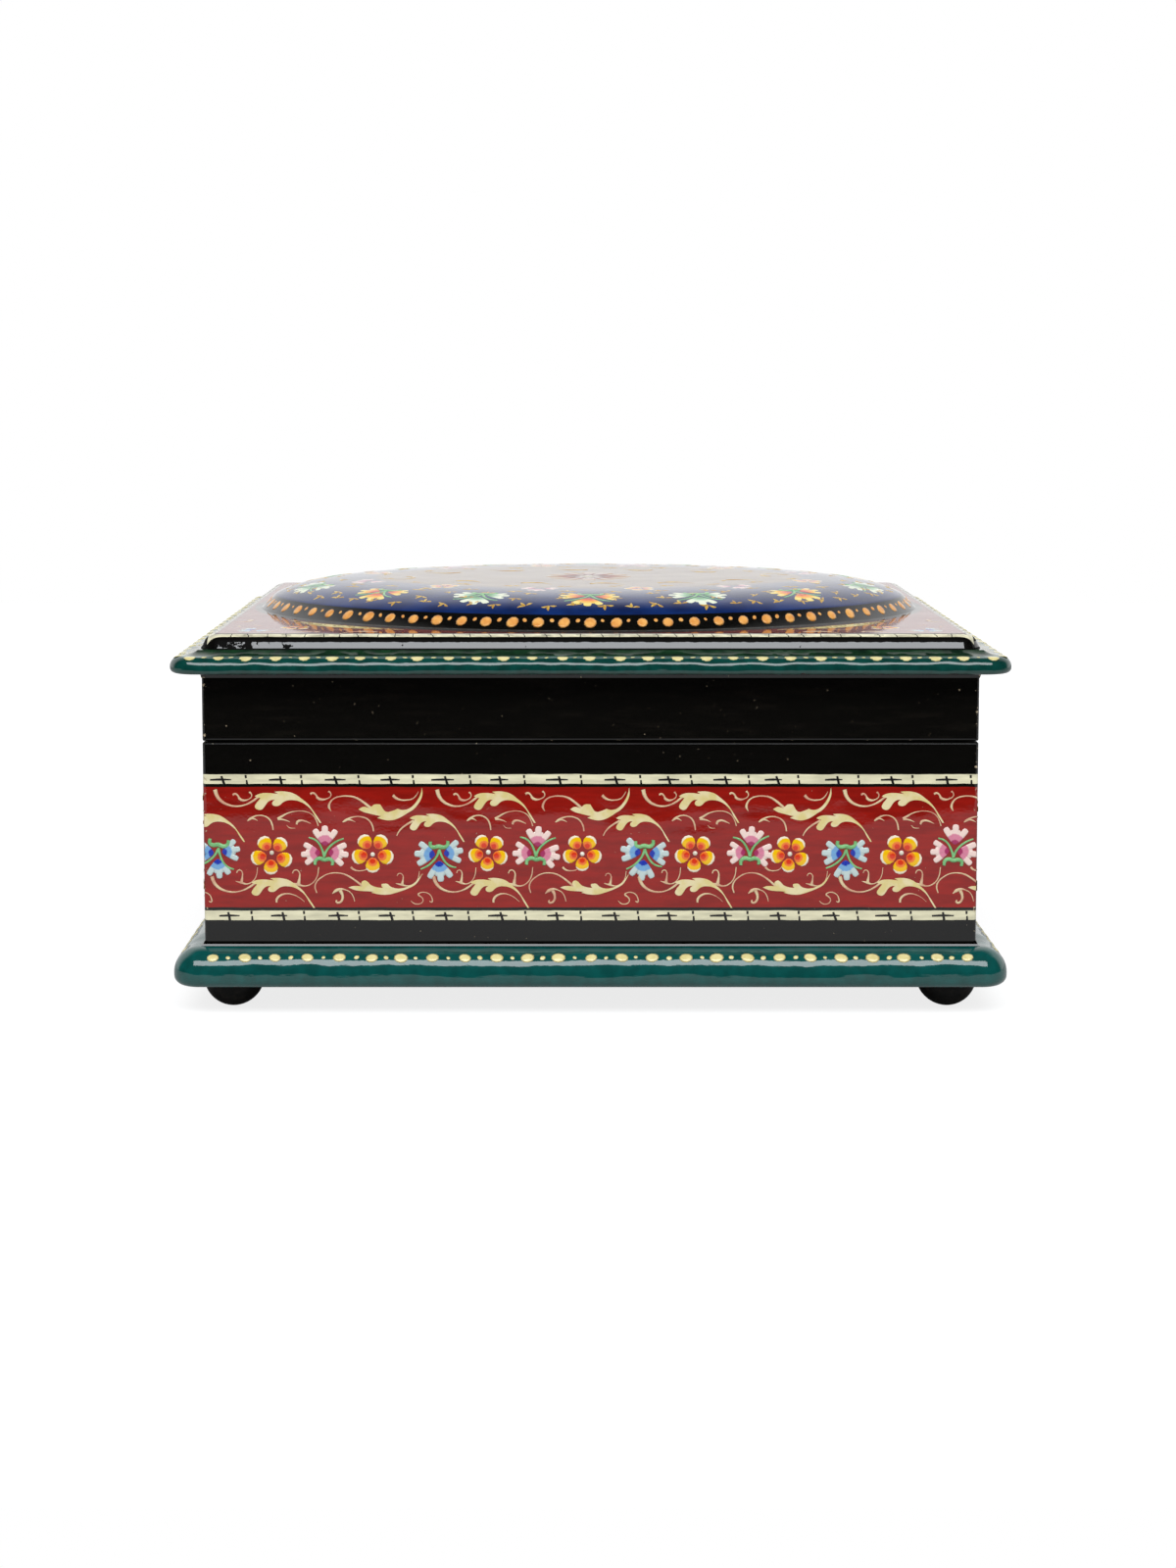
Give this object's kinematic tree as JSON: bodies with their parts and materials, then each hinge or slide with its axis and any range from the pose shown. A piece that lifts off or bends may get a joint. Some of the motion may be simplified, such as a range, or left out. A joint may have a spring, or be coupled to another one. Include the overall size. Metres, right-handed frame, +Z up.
{
  "type": "footed lidded box",
  "caption": "Rectangular Kashmiri papier-mache box with moulded base and lid boards, a raised oval on its hinged lid, painted bands and half-ball feet.",
  "frame": {"origin": "middle of the rectangle that the box stands on, at the bottom of its feet", "axes": "+X to the right along the box's width, -Y toward the front, +Z up"},
  "size_m": [0.2042, 0.1532, 0.1009],
  "materials": {
    "green_lacquer": "glossy lacquered paint over gesso",
    "red_lacquer": "glossy lacquered paint over gesso",
    "black_lacquer": "glossy lacquered paint over gesso",
    "blue_lacquer": "glossy lacquered paint over gesso",
    "gesso_bead": "filler bead under lacquer",
    "bare_wood": "bare",
    "brass": "polished",
    "steel": "plain wire nails"
  },
  "bodies": {
    "box": {"base_board": "green_lacquer", "front_wall": "red_lacquer", "back_wall": "red_lacquer", "left_wall": "red_lacquer", "right_wall": "red_lacquer", "base_bead": "gesso_bead", "foot_front_left": "black_lacquer", "foot_front_right": "black_lacquer", "foot_back_left": "black_lacquer", "foot_back_right": "black_lacquer", "foot_dowels": "bare_wood", "wall_nails": "steel", "base_nails": "steel", "left_hinge_box_leaf": "brass", "right_hinge_box_leaf": "brass", "left_hinge_pin": "brass", "right_hinge_pin": "brass", "hinge_box_screws": "brass"},
    "lid": {"front_rim": "black_lacquer", "back_rim": "black_lacquer", "left_rim": "black_lacquer", "right_rim": "black_lacquer", "lid_bead": "gesso_bead", "lid_board": "green_lacquer", "lid_panel": "red_lacquer", "oval_dome": "blue_lacquer", "rim_nails": "steel", "lid_nails": "steel", "left_hinge_lid_leaf": "brass", "right_hinge_lid_leaf": "brass", "hinge_lid_screws": "brass"}
  },
  "joints": [
    {"name": "lid_hinge", "type": "hinge", "parent": "box", "child": "lid", "pos_m": [0, 0.06725, 0.0668], "axis": [-1, 0, 0], "range_deg": [0, 100]}
  ]
}
